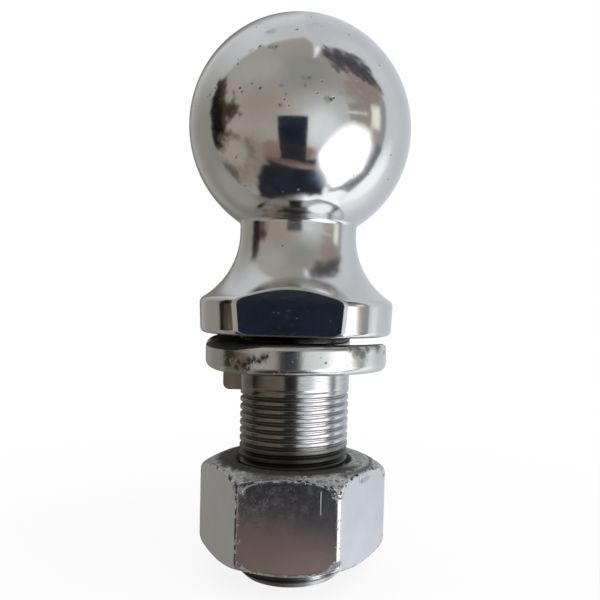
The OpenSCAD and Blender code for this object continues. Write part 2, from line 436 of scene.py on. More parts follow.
def from_middle(th):
    """Angle from the middle of the nearest flat."""
    return (th - math.radians(NUT_TURN)) % (math.pi / 3) - math.pi / 6


def hexagon(th):
    """Distance from the axis to the nut's flats, rounded a little at the corners."""
    a = from_middle(th)
    return soft_min(NUT_HALF / np.cos(a), NUT_HALF / np.cos(math.pi / 3 - np.abs(a)), NUT_EDGE)


def chamfer_radius(h):
    """Radius of the chamfer's surface at height h from the middle."""
    h = np.abs(h)
    on_slope = NUT_FACE_R + (nut_half - h) / math.tan(slope)
    square = NUT_CORNER_ROUND**2 - np.clip(h - round_h, 0, None) ** 2
    return np.where(nut_half - h < slope_drop, on_slope, round_r + np.sqrt(np.clip(square, 0, None)))


def nut_side(h, th):
    return soft_min(chamfer_radius(h), hexagon(th), CHAMFER_EDGE), nut_z + h


def nut_marks(h, th):
    """Marks: within 1.3 mm of a chamfer's edge, on a chamfer, and within 0.8 mm of a corner."""
    chamfer, flat = chamfer_radius(h), hexagon(th)
    edge = np.clip(1 - np.abs(chamfer - flat) / 1.3, 0, 1)
    edge = edge * smooth(nut_half - 5.2, nut_half - 3.6, np.abs(h))
    corner = np.clip(1 - (math.pi / 6 - np.abs(from_middle(th))) * NUT_HALF / 0.8, 0, 1)
    corner = corner * (flat < chamfer + 0.5)
    return np.stack([edge, smooth(-1.1, 1.1, flat - chamfer), corner], -1)


def face_marks(u, th):
    """The flat ring on each end is marked as worn."""
    return np.stack([0 * u, 0 * u + 1, 0 * u], -1)


# Columns lie closest at the six corners, and rows at the chamfers.
nut_columns = all_round([60 * k + NUT_TURN for k in range(6)], (-4, 0.4), (4, 1.3), (56, 0))
end_rows = nut_half - np.concatenate([[0, 0.08, 0.16], np.linspace(0.3, 4.9, 34)])
nut_rows = np.concatenate([end_rows, np.linspace(nut_half - 5.6, 5.6 - nut_half, 9), -end_rows[::-1]])
sweep(nut, turned(nut_side), nut_rows, nut_columns, marks=nut_marks)

sink_r = NUT_BORE_R + NUT_SINK
top_z, bottom_z = nut_z + nut_half, nut_z - nut_half
for surface, rows, marks in (
    (cone(top_z, sink_r, top_z, NUT_FACE_R), shares(5), face_marks),
    (cone(top_z - NUT_SINK, NUT_BORE_R, top_z, sink_r), shares(3), None),
    (cone(bottom_z + NUT_SINK, NUT_BORE_R, top_z - NUT_SINK, NUT_BORE_R), shares(4), None),
    (cone(bottom_z, sink_r, bottom_z + NUT_SINK, NUT_BORE_R), shares(3), None),
    (cone(bottom_z, sink_r, bottom_z, NUT_FACE_R), shares(5), face_marks),
):
    sweep(nut, surface, rows, nut_columns, marks=marks)
nut_obj = nut.build("hexagon_nut")

# Materials


class Graph:
    """Short names for building the nodes of a material, or of the world."""

    def __init__(self, owner, kind="Material"):
        owner.use_nodes = True
        self.owner, self.tree = owner, owner.node_tree
        self.tree.nodes.clear()
        self.out = self.tree.nodes.new("ShaderNodeOutput" + kind)

    def node(self, kind, inputs=None, **props):
        n = self.tree.nodes.new("ShaderNode" + kind)
        for k, v in props.items():
            setattr(n, k, v)
        for k, v in (inputs or {}).items():
            self.put(n.inputs[k], v)
        return n

    def put(self, socket, value):
        if isinstance(value, bpy.types.NodeSocket):
            self.tree.links.new(value, socket)
        else:
            socket.default_value = value

    def math(self, op, a, b=0):
        return self.node("Math", {0: a, 1: b, 2: 0}, operation=op).outputs[0]

    def vector(self, op, a, b):
        return self.node("VectorMath", {0: a, 1: b}, operation=op).outputs[0]

    def add(self, a, b):
        return self.math("ADD", a, b)

    def mul(self, a, b):
        return self.math("MULTIPLY", a, b)

    def both(self, first, *others):
        for v in others:
            first = self.mul(first, v)
        return first

    def most(self, first, *others):
        for v in others:
            first = self.math("MAXIMUM", first, v)
        return first

    def step(self, x, lo, hi):
        """0 below lo and 1 above hi, or the other way round, and smooth between."""
        ends = {"From Min": min(lo, hi), "From Max": max(lo, hi), "To Min": lo >= hi, "To Max": lo < hi}
        return self.node("MapRange", {"Value": x, **ends}, interpolation_type="SMOOTHSTEP").outputs[0]

    def between(self, x, lo, hi, soft):
        return self.mul(self.step(x, lo - soft, lo + soft), self.step(x, hi + soft, hi - soft))

    def mix(self, share, a, b):
        """From colour a to colour b. Each is a socket or a tuple (r, g, b)."""
        n = self.node("Mix", {0: share}, data_type="RGBA", clamp_factor=True)
        for socket, value in ((6, a), (7, b)):
            self.put(n.inputs[socket], (*value, 1) if isinstance(value, tuple) else value)
        return n.outputs[2]

    def coat(self, color, over, *masks):
        """The colour, with over laid on it where all the masks are 1."""
        return self.mix(self.both(*masks), color, over)

    def blend(self, share, a, b):
        return self.node("Mix", {0: share, 2: a, 3: b}, data_type="FLOAT", clamp_factor=True).outputs[0]

    def noise(self, vector, scale, detail=2, rough=0.5, stretch=None):
        if stretch:
            vector = self.vector("MULTIPLY", vector, stretch)
        n = self.node("TexNoise", {"Vector": vector, "Scale": scale, "Detail": detail, "Roughness": rough})
        return n.outputs["Fac"]

    def place(self):
        """Object coordinates in millimetres, with x, y, z and the distance from the axis."""
        mm = self.vector("MULTIPLY", self.node("TexCoord").outputs["Object"], (1000, 1000, 1000))
        x, y, z = self.node("SeparateXYZ", {0: mm}).outputs
        return mm, x, y, z, self.math("SQRT", self.add(self.mul(x, x), self.mul(y, y)))

    def spots(self, vector, spots, soft=0.35):
        """A mask that is 1 inside each (x, y, z, radius) spot."""
        masks = []
        for x, y, z, radius in spots:
            n = self.node("VectorMath", {0: vector, 1: (x, y, z)}, operation="DISTANCE")
            masks.append(self.step(n.outputs["Value"], radius * (1 + soft), radius * (1 - soft)))
        return self.most(*masks)

    def warped(self, vector, scale, amount):
        """The vector, shifted by noise to make outlines uneven."""
        n = self.node("TexNoise", {"Vector": vector, "Scale": scale, "Detail": 1})
        shift = self.vector("SUBTRACT", n.outputs["Color"], (0.5, 0.5, 0.5))
        return self.vector("ADD", vector, self.vector("MULTIPLY", shift, (amount, amount, amount)))

    def mark(self, name):
        return self.node("Attribute", attribute_name=name).outputs["Fac"]

    def seen(self):
        """1 for the rays that the camera sees by, straight, mirrored or through something clear."""
        rays = self.node("LightPath").outputs
        return self.most(*(rays["Is %s Ray" % kind] for kind in ("Camera", "Glossy", "Transmission")))

    def show(self, shader):
        self.put(self.out.inputs[0], shader.outputs[0])
        return self.owner

    def metal(self, color, metallic, roughness, height):
        bump = self.node("Bump", {"Height": height, "Distance": MM, "Strength": 1}).outputs[0]
        looks = {"Base Color": color, "Metallic": metallic, "Roughness": roughness, "Normal": bump}
        return self.show(self.node("BsdfPrincipled", looks))


def new_material(name):
    return Graph(bpy.data.materials.new(name))


# Pits and soft grey stains on the ball: degrees right of its front, degrees up, and radius in mm.
BALL_PITS = [
    (-28.5, 6.2, 0.3), (-27.3, 4.3, 0.26), (-18.3, 5.3, 0.32), (-22.4, 7.4, 0.2), (-47.7, 6.1, 0.22),
    (-3, 37.4, 0.28), (-9.3, -2.5, 0.24), (-4.9, -2.5, 0.18), (13.7, 1.2, 0.36), (14.9, 1.8, 0.26),
    (4.1, 10.3, 0.22), (9.5, 8.9, 0.18), (-21.6, 27, 0.22), (-12.8, 25.7, 0.26),
]
BALL_STAINS = [
    (-17.9, 36.6, 1), (-13.4, 26, 0.7), (-16, 25.9, 0.5), (-21.2, 26.7, 0.5), (-26.3, 25.3, 0.5),
    (3.7, 10.1, 0.45), (1, 9.8, 0.45), (2, 6.5, 0.35), (-8.3, 5.9, 0.35), (-6.2, 2.1, 0.3),
    (-8.4, -2.5, 0.4), (12.3, 1.1, 0.7), (-31.7, 4.4, 0.5),
]


def on_ball(spots):
    """Spots on the ball as (x, y, z, radius) in millimetres."""
    out = []
    for right, up, radius in spots:
        a, e = math.radians(right), math.radians(up)
        x, y, z = math.cos(e) * math.sin(a), -math.cos(e) * math.cos(a), math.sin(e)
        out.append((BALL_R * x, BALL_R * y, BALL_Z + BALL_R * z, radius))
    return out


def chrome():
    g = new_material("chrome_plate_worn")
    mm, x, y, z, r = g.place()
    threaded = g.step(z, -11.2, -12.2)
    pits = g.spots(g.warped(mm, 1.6, 0.35), on_ball(BALL_PITS))
    # Fine pits, scattered, thicker on the left of the ball.
    cells = g.node("TexVoronoi", {"Vector": g.warped(mm, 3, 0.2), "Scale": 0.62, "Randomness": 1})
    chance = g.node("SeparateColor", {0: cells.outputs["Color"]}).outputs[0]
    left = g.step(g.add(x, g.mul(z, -0.25)), -8, -24)
    chosen = g.math("LESS_THAN", chance, g.blend(left, 0.05, 0.16))
    small = g.both(g.step(cells.outputs["Distance"], 0.15, 0.09), chosen, g.step(z, 4, 12))
    pits = g.most(pits, small)
    cloud = g.noise(mm, 0.12, 3, 0.6)
    haze = g.noise(mm, 0.9, 4, 0.65)
    lines = g.noise(mm, 1, 3, 0.6, stretch=(0.25, 0.25, 6))
    shank = g.step(z, 0.2, -0.3)
    neck = g.mul(g.step(z, 28.5, 25), g.step(z, 6, 9))
    # Painted shade under the flange, in the thread's grooves, and on the thread just above and inside the
    # nut. The shank's end below the nut has painted shade and dirt.
    flange_shade = g.both(g.step(z, 0.5, 0.1), g.step(z, -0.9, -0.5), g.step(r, 12.9, 13.4))
    flange_shade = g.mul(flange_shade, g.blend(g.step(x, 2, 8), 1, 0.3))
    sides = g.most(g.step(x, 3, -2), g.mul(g.step(x, 6.5, 8.5), 0.38))
    groove_shade = g.both(g.mul(threaded, g.step(r, 12.62, 12.3)), sides, g.blend(haze, 0.75, 1))
    # Painted highlight: the thread's crests are lighter between 0 and 8.5 mm right of the axis.
    crest_highlight = g.both(threaded, g.step(r, 12.68, 12.45), g.step(x, 0, 3.5), g.step(x, 8.5, 6.5))
    end = g.both(g.step(z, -50.6, -51.6), g.blend(g.step(x, 3, 6), 1, 0.05))
    nut_shade = g.both(g.step(z, -23.4, -26.6), g.step(z, -51, -50), g.step(haze, 0.05, 0.45), 0.95)
    end = g.most(end, nut_shade)
    color = g.mix(cloud, (0.585, 0.585, 0.58), (0.64, 0.645, 0.65))
    color = g.coat(color, (0.46, 0.45, 0.43), g.step(haze, 0.52, 0.75), 0.18)
    smudge = g.step(g.noise(mm, 0.3, 4, 0.7), 0.56, 0.66)
    color = g.coat(color, (0.36, 0.38, 0.39), smudge, g.step(z, 60, 66), 0.35)
    stains = g.spots(g.warped(mm, 0.9, 1), on_ball(BALL_STAINS), 0.8)
    color = g.coat(color, (0.2, 0.2, 0.185), stains, g.blend(g.step(haze, 0.35, 0.6), 0.25, 0.6))
    # The shank is bare steel, dull, and darker and browner on its left.
    rightward = g.step(x, -4, 3.5)
    steel = g.mix(rightward, (0.2, 0.185, 0.165), (0.52, 0.52, 0.53))
    worn = g.mix(rightward, (0.13, 0.12, 0.105), (0.38, 0.38, 0.385))
    color = g.mix(shank, color, g.mix(g.step(lines, 0.45, 0.75), steel, worn))
    # Painted highlight on the thread's crests.
    color = g.coat(color, (0.8, 0.8, 0.81), crest_highlight, 0.9)
    # Painted shade in the thread's grooves, mostly on the left.
    color = g.coat(color, (0.1, 0.09, 0.08), groove_shade, 0.8)
    # Painted shade under the flange and at the nut, with dirt on the shank's end.
    dirt_and_shade = g.mix(haze, (0.03, 0.03, 0.028), (0.14, 0.13, 0.12))
    color = g.coat(color, dirt_and_shade, g.most(end, flange_shade), 0.8)
    # Painted shade, nearly black, on the thread from just above the nut down into it.
    deep = g.both(g.step(z, -24.2, -27.4), g.step(z, -51, -50))
    color = g.coat(color, (0.022, 0.021, 0.018), deep, g.blend(g.step(r, 12.3, 12.7), 0.92, 0.72))
    # Pale dust on the front flat.
    dust = g.step(g.noise(mm, 1.5, 3, 0.6), 0.66, 0.74)
    dust = g.both(g.step(z, 13, 10), g.step(y, -18.4, -18.9), dust, 0.3)
    color = g.coat(color, (0.75, 0.77, 0.8), dust)
    color = g.coat(color, (0.07, 0.05, 0.04), pits, 0.9)
    dirt_and_shade_mask = g.most(groove_shade, end, flange_shade)
    metallic = g.blend(dust, g.blend(pits, g.blend(dirt_and_shade_mask, 1, 0.85), 0.25), 0.4)
    rough = g.add(0.085, g.mul(g.step(haze, 0.35, 0.8), 0.05))
    rough = g.add(rough, g.mul(neck, 0.07))
    rough = g.blend(shank, rough, g.add(0.12, g.mul(lines, 0.14)))
    rough = g.blend(g.mul(dirt_and_shade_mask, 0.8), rough, 0.42)
    rough = g.blend(pits, rough, 0.7)
    height = g.mul(g.noise(mm, 0.22, 1), 0.012)
    height = g.add(height, g.mul(haze, 0.0012))
    height = g.add(height, g.both(shank, lines, 0.002))
    height = g.add(height, g.mul(pits, -0.06))
    return g.metal(color, metallic, rough, height)


# Marks on the washer, as x, y, z and radius in millimetres.
WASHER_RUST = [
    (-12.4, -17.2, -6.6, 1), (-11.8, -17.6, -5.5, 0.8), (-10.65, -18.33, -5.98, 1.25),
    (-9.9, -18.7, -6.6, 0.9), (-9.58, -18.91, -5.1, 1.1), (-8.53, -19.41, -4.9, 1),
    (-7.47, -19.84, -4.9, 0.8), (-6.43, -20.2, -4.3, 0.9), (-5.7, -20.4, -3.9, 0.6),
    (-13.4, -16.4, -5.4, 0.6),
]
WASHER_FLAKES = [
    (-10.2, -18.6, -7.4, 0.7), (-8.2, -19.5, -6.1, 0.7), (-12.9, -16.8, -7.7, 0.7),
    (-6.2, -20.3, -5.2, 0.5),
]
WASHER_DOTS = [
    (6.53, -20.17, -5, 0.24), (20, -6.9, -3.5, 0.5), (20.5, -5.2, -2.2, 0.5), (18.9, -9.6, -1.7, 0.6),
    (19.6, -8, -1.5, 0.5),
]
WASHER_GREY = [
    (13.4, -16.5, -2.6, 1.3), (14.5, -15.5, -3.4, 1.2), (15.6, -14.4, -2.2, 0.9),
    (18.3, -10.8, -1.7, 1.5), (17, -13, -1.4, 0.9), (11.8, -17.6, -1.9, 0.8),
]


def washer_zinc():
    g = new_material("washer_zinc_worn")
    mm, x, _, z, r = g.place()
    cloud = g.noise(mm, 0.22, 3, 0.6)
    grain = g.noise(mm, 1.8, 4, 0.65)
    warped = g.warped(mm, 1.4, 0.7)
    facing = g.node("SeparateXYZ", {0: g.node("TexCoord").outputs["Normal"]}).outputs["Z"]
    rust = g.mul(g.spots(warped, WASHER_RUST, 0.6), g.step(g.noise(mm, 1.1, 4, 0.65), 0.36, 0.41))
    flaked = g.mul(g.spots(warped, WASHER_FLAKES, 0.6), g.step(grain, 0.5, 0.56))
    stain = g.both(g.step(x, -8, -11), g.step(x, -15.6, -14.4), g.step(z, -2.6, -3.8))
    dots = g.spots(g.warped(mm, 3, 0.2), WASHER_DOTS)
    grey = g.mul(g.spots(warped, WASHER_GREY, 0.6), g.step(grain, 0.3, 0.42))
    fine = g.both(g.step(g.noise(mm, 1.1, 3, 0.7), 0.66, 0.72), g.step(r, 20.2, 20.8), 0.7)
    color = g.mix(cloud, (0.56, 0.57, 0.55), (0.66, 0.67, 0.66))
    color = g.coat(color, (0.44, 0.44, 0.41), g.step(grain, 0.5, 0.8), 0.35)
    color = g.coat(color, (0.22, 0.2, 0.15), stain, g.step(facing, 0.5, 0.2), 0.85)
    color = g.coat(color, (0.4, 0.4, 0.36), g.step(x, -13, -18), 0.6)
    color = g.coat(color, (0.11, 0.108, 0.1), grey, 0.9)
    color = g.coat(color, (0.13, 0.1, 0.08), g.most(fine, dots), 0.8)
    brown = g.mix(g.step(grain, 0.4, 0.75), (0.012, 0.009, 0.007), (0.13, 0.055, 0.025))
    color = g.coat(color, brown, rust)
    # Painted shade on the upper face where it lies under the flange.
    upper_face_shade = g.blend(g.step(x, 1, 6), g.step(facing, 0.55, 0.9), g.step(facing, 0.84, 0.97))
    upper_face_shade = g.both(upper_face_shade, g.step(z, -7.5, -6), g.blend(g.step(grain, 0.3, 0.6), 0.9, 1))
    color = g.coat(color, (0.62, 0.6, 0.52), flaked, 0.8)
    # The cut end that shows is dull and brownish.
    end = g.both(g.step(r, 12.9, 13.6), g.step(z, -7.6, -8.6), g.step(x, -8, -11))
    color = g.coat(color, g.mix(cloud, (0.19, 0.175, 0.14), (0.27, 0.23, 0.19)), end, 0.85)
    # Painted shade, nearly black, on the upper face under the flange.
    color = g.coat(color, (0.018, 0.018, 0.018), upper_face_shade, g.blend(g.step(x, 10, 16), 0.97, 0.86))
    dirt_and_shade_mask = g.most(rust, g.mul(grey, 0.6), g.mul(fine, 0.8), dots, g.mul(upper_face_shade, 0.7))
    metallic = g.blend(dirt_and_shade_mask, 1, 0.15)
    rough = g.add(0.17, g.mul(grain, 0.1))
    rough = g.blend(g.mul(end, 0.7), rough, 0.5)
    rough = g.blend(dirt_and_shade_mask, rough, 0.75)
    height = g.add(g.mul(grain, 0.003), g.mul(g.noise(mm, 0.35, 2), 0.03))
    height = g.add(height, g.mul(dirt_and_shade_mask, -0.12))
    return g.metal(color, metallic, rough, height)


# Chips on the nut, as x, y, z and radius in millimetres.
NUT_CHIPS = [
    (11.5, -15.2, -29.6, 0.7), (-13.9, -18.6, -42.6, 0.3), (-14.2, -18.4, -43.6, 0.25),
    (-13.9, -18.2, -32, 0.3),
]


def nut_zinc():
    g = new_material("nut_zinc_worn")
    mm, x, y, z, r = g.place()
    edge, corner, worn = g.mark("edge"), g.mark("corner"), g.mark("worn")
    cloud = g.noise(mm, 0.16, 3, 0.6)
    grain = g.noise(mm, 2.2, 4, 0.65)
    brush = g.noise(mm, 1, 4, 0.6, stretch=(2.4, 2.4, 0.35))
    blot = g.noise(mm, 0.55, 4, 0.68)
    chips = g.noise(mm, 0.62, 5, 0.72)
    # The chamfers are worn, with a ragged edge that runs a little way onto the flats.
    worn = g.step(g.add(worn, g.mul(g.add(g.noise(mm, 0.8, 5, 0.75), -0.5), 2.2)), 0.46, 0.6)
    left = g.step(x, 4, -4)
    upper = g.step(z, -44, -40)
    # Dirt along the chamfers' edges, and a broken dark band down the left corner only.
    dirt_and_shade = g.both(g.step(edge, 0.25, 0.8), g.step(chips, 0.5, 0.56), g.blend(upper, 0.6, 1))
    dirt_and_shade = g.most(dirt_and_shade, g.both(g.step(corner, 0.55, 0.85), g.step(chips, 0.42, 0.5), left))
    dirt_and_shade = g.most(dirt_and_shade, g.both(worn, g.step(blot, 0.56, 0.64), 0.85))
    wide = g.add(r, g.mul(g.add(chips, -0.5), 5))
    # Painted shade: the top face is dark, and nearly black inside a ragged ring, except on the right.
    top = g.both(g.step(z, -31.2, -29.6), g.step(wide, 18.6, 17.4))
    right = g.both(g.step(x, 8, 12.5), g.step(y, -11, -6))
    upper_face_shade = g.both(top, g.step(wide, 18.6, 16.8), g.blend(right, 1, 0.25))
    # Painted shade in the countersink and the bore.
    bore_shade = g.both(g.step(r, 14.2, 13.7), g.step(z, -49.5, -48))
    dirt_and_shade = g.most(dirt_and_shade, g.mul(g.most(upper_face_shade, bore_shade), 0.9))
    streak = g.between(g.add(r, g.mul(chips, 2)), 18.9, 19.9, 0.4)
    streak = g.both(streak, g.step(x, 9, 11), g.step(z, -33, -32))
    dirt_and_shade = g.most(dirt_and_shade, g.mul(streak, 0.8))
    dirt_and_shade = g.most(dirt_and_shade, g.spots(g.warped(mm, 1.5, 0.6), NUT_CHIPS, 0.5))
    pale = g.both(worn, g.step(blot, 0.6, 0.45))
    # Painted highlight down the corners on the right.
    corner_highlight = g.both(g.step(corner, 0.72, 0.92), g.step(x, 4, 8))
    scuff = g.both(g.step(g.noise(mm, 0.5, 5, 0.72), 0.44, 0.66), g.step(z, -46, -33))
    scuff = g.both(scuff, g.step(y, -17.5, -18.2), g.step(x, 12, 2))
    # One long scratch, and short upright ones near the top.
    scratch = g.mul(g.between(x, 6.15, 6.33, 0.05), g.between(z, -37, -32.2, 0.3))
    scratch = g.mul(scratch, g.step(y, -17, -18))
    short = g.step(g.noise(mm, 1.6, 2, 0.5, stretch=(5, 5, 0.5)), 0.7, 0.76)
    scratch = g.most(scratch, g.both(short, g.step(z, -36.5, -33), 0.5))
    color = g.mix(cloud, (0.56, 0.58, 0.6), (0.66, 0.68, 0.71))
    color = g.coat(color, (0.45, 0.45, 0.44), g.step(grain, 0.5, 0.8), 0.2)
    color = g.coat(color, (0.37, 0.37, 0.34), pale, 0.85)
    # Painted shade on the top face, light on the right.
    color = g.coat(color, (0.15, 0.145, 0.125), top, g.blend(right, 0.75, 0.1))
    # Painted highlight on the right-hand corners.
    color = g.coat(color, (0.72, 0.73, 0.74), corner_highlight, g.blend(g.step(chips, 0.35, 0.6), 1, 0.5))
    color = g.coat(color, (0.72, 0.76, 0.82), scuff, 0.2)
    color = g.coat(color, (0.85, 0.86, 0.88), scratch, 0.9)
    black = g.mix(g.step(grain, 0.4, 0.8), (0.012, 0.011, 0.009), (0.1, 0.085, 0.06))
    # Dirt, and painted shade on the top face and in the bore.
    color = g.coat(color, black, dirt_and_shade)
    metallic = g.blend(dirt_and_shade, g.blend(g.most(g.mul(pale, 0.4), g.mul(scuff, 0.22)), 1, 0.7), 0.1)
    rough = g.add(0.11, g.mul(brush, 0.07))
    rough = g.blend(g.mul(pale, 0.8), rough, 0.52)
    rough = g.blend(scratch, rough, 0.6)
    rough = g.blend(dirt_and_shade, rough, 0.8)
    height = g.add(g.mul(brush, 0.012), g.mul(grain, 0.01))
    height = g.add(height, g.both(edge, chips, 0.05))
    height = g.add(height, g.mul(dirt_and_shade, -0.14))
    return g.metal(color, metallic, rough, height)


for obj, node, slot_name, material in (
    (stud_obj, "ball_stud", "chrome_plate", chrome()),
    (washer_obj, "lock_washer", "washer_zinc", washer_zinc()),
    (nut_obj, "hex_nut", "nut_zinc", nut_zinc()),
):
    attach(obj, "root")
    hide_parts(node)
    obj.data.materials.append(material)

# Studio

# In metres, apart from the cards' place.
FLOOR_Z, FLOOR_RADIUS, TENT_RADIUS = -0.0561, 3.5, 3
CARD_Y = -160.5
scene = bpy.context.scene
scene.view_settings.view_transform = "Standard"
scene.world = bpy.data.worlds.new("studio")
# The world looks white and lights the object a little less.
sky = Graph(scene.world, "World")
level = sky.node("MapRange", {"Value": sky.seen(), "To Min": 0.7, "To Max": 1}).outputs[0]
sky.show(sky.node("Background", {"Color": (1, 1, 1, 1), "Strength": level}))


def floor_material():
    """White where the camera looks, and a pale floor that takes shadows near the object."""
    g = new_material("pale_floor")
    coord = g.node("TexCoord").outputs["Object"]
    color = g.mix(g.noise(coord, 300, 3), (0.9, 0.9, 0.9), (0.94, 0.94, 0.94))
    diffuse = g.node("BsdfDiffuse", {"Color": color})
    glow = g.node("Emission", {"Color": (1, 1, 1, 1), "Strength": 1})
    away = g.step(g.node("VectorMath", {0: coord}, operation="LENGTH").outputs["Value"], 0.06, 0.22)
    share = g.mul(g.seen(), g.blend(away, 0.86, 1))
    return g.show(g.node("MixShader", {0: share, 1: diffuse.outputs[0], 2: glow.outputs[0]}))


around = [2 * math.pi * k / 96 for k in range(96)]
disc = [(FLOOR_RADIUS * math.cos(a), FLOOR_RADIUS * math.sin(a), FLOOR_Z) for a in around]
floor_mesh = bpy.data.meshes.new("floor")
floor_mesh.from_pydata(disc, [], [list(range(len(disc)))])
floor = linked("floor", floor_mesh)
floor.data.materials.append(floor_material())
# The tent takes the floor's place in the metal's reflections.
floor.visible_glossy = False


def inside(where, corners, soft):
    """1 inside the polygon of (azimuth, elevation) corners and 0 outside, with a soft edge."""
    x, y = where
    nearest = np.full(x.shape, 1e9)
    within = np.zeros(x.shape, bool)
    for (x0, y0), (x1, y1) in zip(corners, corners[1:] + corners[:1]):
        ex, ey = x1 - x0, y1 - y0
        t = np.clip(((x - x0) * ex + (y - y0) * ey) / (ex * ex + ey * ey), 0, 1)
        nearest = np.minimum(nearest, np.hypot(x - x0 - t * ex, y - y0 - t * ey))
        within ^= ((y0 > y) != (y1 > y)) & (x < x0 + (y - y0) * ex / (ey if ey else 1e-9))
    return smooth(-soft, soft, np.where(within, nearest, -nearest))


def patch(where, at, size, soft=0.5):
    """1 in the middle of an oval at (azimuth, elevation), and 0 outside it."""
    away = np.hypot((where[0] - at[0]) / size[0], (where[1] - at[1]) / size[1])
    return smooth(1 + soft, 1 - soft, away)


def lay(base, mask, color):
    return base + (np.array(color) - base) * mask[..., None]


def tone(r, g, b):
    """Light that chrome shows as the sRGB colour (r, g, b)."""
    return (np.array([r, g, b]) / 255) ** 2.2 / 0.6


def feather(mask, grain, amount=0.9):
    """The mask, with its edge broken up by grain."""
    return smooth(0.18, 0.82, mask + (grain - 0.5) * amount) * smooth(0, 0.25, mask)


def tent_color(d):
    """Colour of the tent in direction d, seen from the ball. Azimuth 0 faces the camera's side."""
    az = np.degrees(np.arctan2(d[..., 0], -d[..., 1]))
    el = np.degrees(np.arcsin(np.clip(d[..., 2], -1, 1)))
    broad1, broad2 = layered(d * 10, 0.9) - 0.5, layered(d * 10 + 40, 0.9) - 0.5
    grain = layered(d * 10 + 80, 1.4, 4)
    speckle = grain[..., None]
    slant = layered(np.stack([(az + el) * 0.55, (el - az) * 0.09, 0 * az], -1), 1)
    upright = layered(np.stack([az * 0.45, el * 0.07, 0 * az], -1), 1)
    plain, wavy = (az, el), (az + broad1 * 10, el + broad2 * 10)

    # The pale sheet all round, darker and warmer on the left.
    side = np.degrees(np.arcsin(np.clip(d[..., 0] / np.maximum(np.cos(np.radians(el)), 1e-6), -1, 1)))
    left = smooth(20, -60, side) * smooth(52, 8, el)
    left = np.maximum(left, smooth(-15, -60, side) * smooth(66, 8, el))
    low = smooth(0, -45, el)
    c = np.zeros(az.shape + (3,)) + tone(185, 188, 190)

    def paint(mask, color, strength=1):
        c[...] = lay(c, mask, tone(*color) * strength)

    paint(smooth(60, 80, el), (176, 179, 182))
    paint(smooth(105, 135, az), (174, 177, 181))
    paint(left, (129, 126, 120))
    paint(left * low, (104, 102, 95))
    paint(patch(plain, (-112, -38), (20, 20)) * 0.9, (138, 134, 129))
    back = smooth(143, 158, np.abs(az)) * smooth(6, -8, side) * smooth(60, 30, el)
    paint(back, (106, 104, 99))
    paint(smooth(10, 60, az) * low * smooth(150, 110, az), (214, 218, 221))
    paint(smooth(5, 35, az) * smooth(-34, -58, el) * smooth(104, 84, az), (243, 245, 248))
    paint(patch(plain, (104, -33), (10, 26)), (238, 240, 244))
    c *= 0.97 + 0.06 * speckle

    # The room before the ball, with its own soft light and dark places.
    room = [(-97, -56), (-97, 30), (-90, 40), (-86, 50), (-80, 60), (-70, 69), (-55, 76), (-35, 82)]
    room += [(0, 84), (20, 82), (27, 76), (22, 69), (35, 67), (62, 62), (82, 50), (93, 36), (93, -50)]
    room += [(60, -60), (0, -66), (-60, -66)]
    room = inside(plain, room, 3 + 6 * smooth(0, -50, az) * smooth(10, 40, el))
    room = feather(room, grain, 0.4)
    paint(room, (146, 140, 132))
    paint(room * patch(wavy, (4, 45), (36, 24), 0.6), (130, 130, 124))
    paint(room * patch(wavy, (-58, 44), (30, 12), 0.6), (147, 147, 137))
    paint(room * patch(plain, (30, -2), (36, 24), 0.6), (170, 172, 171))
    paint(room * patch(plain, (20, -10), (19, 17), 0.6) * 0.9, (204, 207, 209))
    paint(room * patch(wavy, (-40, 14), (22, 16), 0.6) * 0.8, (136, 128, 119))
    paint(room * patch(wavy, (-70, -30), (32, 20)), (124, 116, 104), 0.7 + 0.6 * speckle)

    # Dark things on the left.
    shelf = [(-100, 31), (-92, 35), (-84, 28), (-80, 18), (-62, 15), (-60, 4), (-78, 1), (-84, -12)]
    shelf = inside(wavy, shelf + [(-92, -15), (-99, -10)], 4)
    paint(feather(shelf, grain, 1.1), (60, 52, 42), 0.5 + speckle)
    post = inside(wavy, [(-99, 30), (-91, 28), (-84, 12), (-85, -8), (-90, -14), (-98, -10)], 4)
    paint(feather(post, grain, 0.7), (30, 27, 25))
    paint(patch(plain, (-87, -4), (6, 10), 0.4), (26, 22, 22))
    arms = inside(wavy, [(-92, -6), (-78, -2), (-64, -8), (-64, -16), (-76, -12), (-90, -17)], 3)
    paint(feather(arms, slant, 1.4), (72, 63, 50))
    paint(feather(patch(wavy, (-92, -29), (6, 10), 0.6), grain, 1.2) * 0.8, (76, 72, 62))
    paint(feather(patch(wavy, (-57, -21), (6, 9), 0.6), slant, 1.4) * 0.6, (92, 84, 72))
    paint(feather(patch(plain, (-76, -20), (16, 12)), slant, 1.6) * 0.5, (160, 156, 146))

    # Dark streaks at the upper right, with warmer ones under them.
    streaks = [(31, 70), (50, 72), (70, 66), (86, 57), (94, 46), (94, 30), (80, 36), (66, 40)]
    streaks = inside(wavy, streaks + [(54, 46), (42, 44), (38, 54)], 4)
    blotch = 0.75 * slant + 0.25 * grain
    paint(feather(patch(plain, (66, 30), (22, 13)), blotch, 2.4) * 0.6, (120, 104, 97))
    paint(feather(streaks, blotch, 2.5) * 0.92, (54, 54, 62), 0.3 + 1.4 * speckle)
    pale = inside(plain, [(17, 59), (22, 61), (38, 70), (34, 73), (21, 67)], 2)
    paint(pale, (222, 224, 226))

    # Right-hand side: an upright pale strip and the edge of the sheet.
    strip = inside(plain, [(84, 22), (94, 22), (94, -50), (84, -50)], 3)
    paint(feather(strip, upright, 1.3) * 0.7, (128, 132, 136))
    shade = inside(plain, [(46, 17), (74, 19), (74, 2), (50, 2)], 4)
    paint(feather(shade, grain, 1.2) * 0.85, (128, 122, 114))
    fold = inside(plain, [(44, 8), (69, 10), (69, 12), (46, 10)], 1.5)
    paint(feather(fold, grain, 0.6) * 0.8, (205, 202, 196))
    paint(inside(plain, [(74, 2), (85, 2), (85, 18), (74, 18)], 2.5), (216, 216, 208))

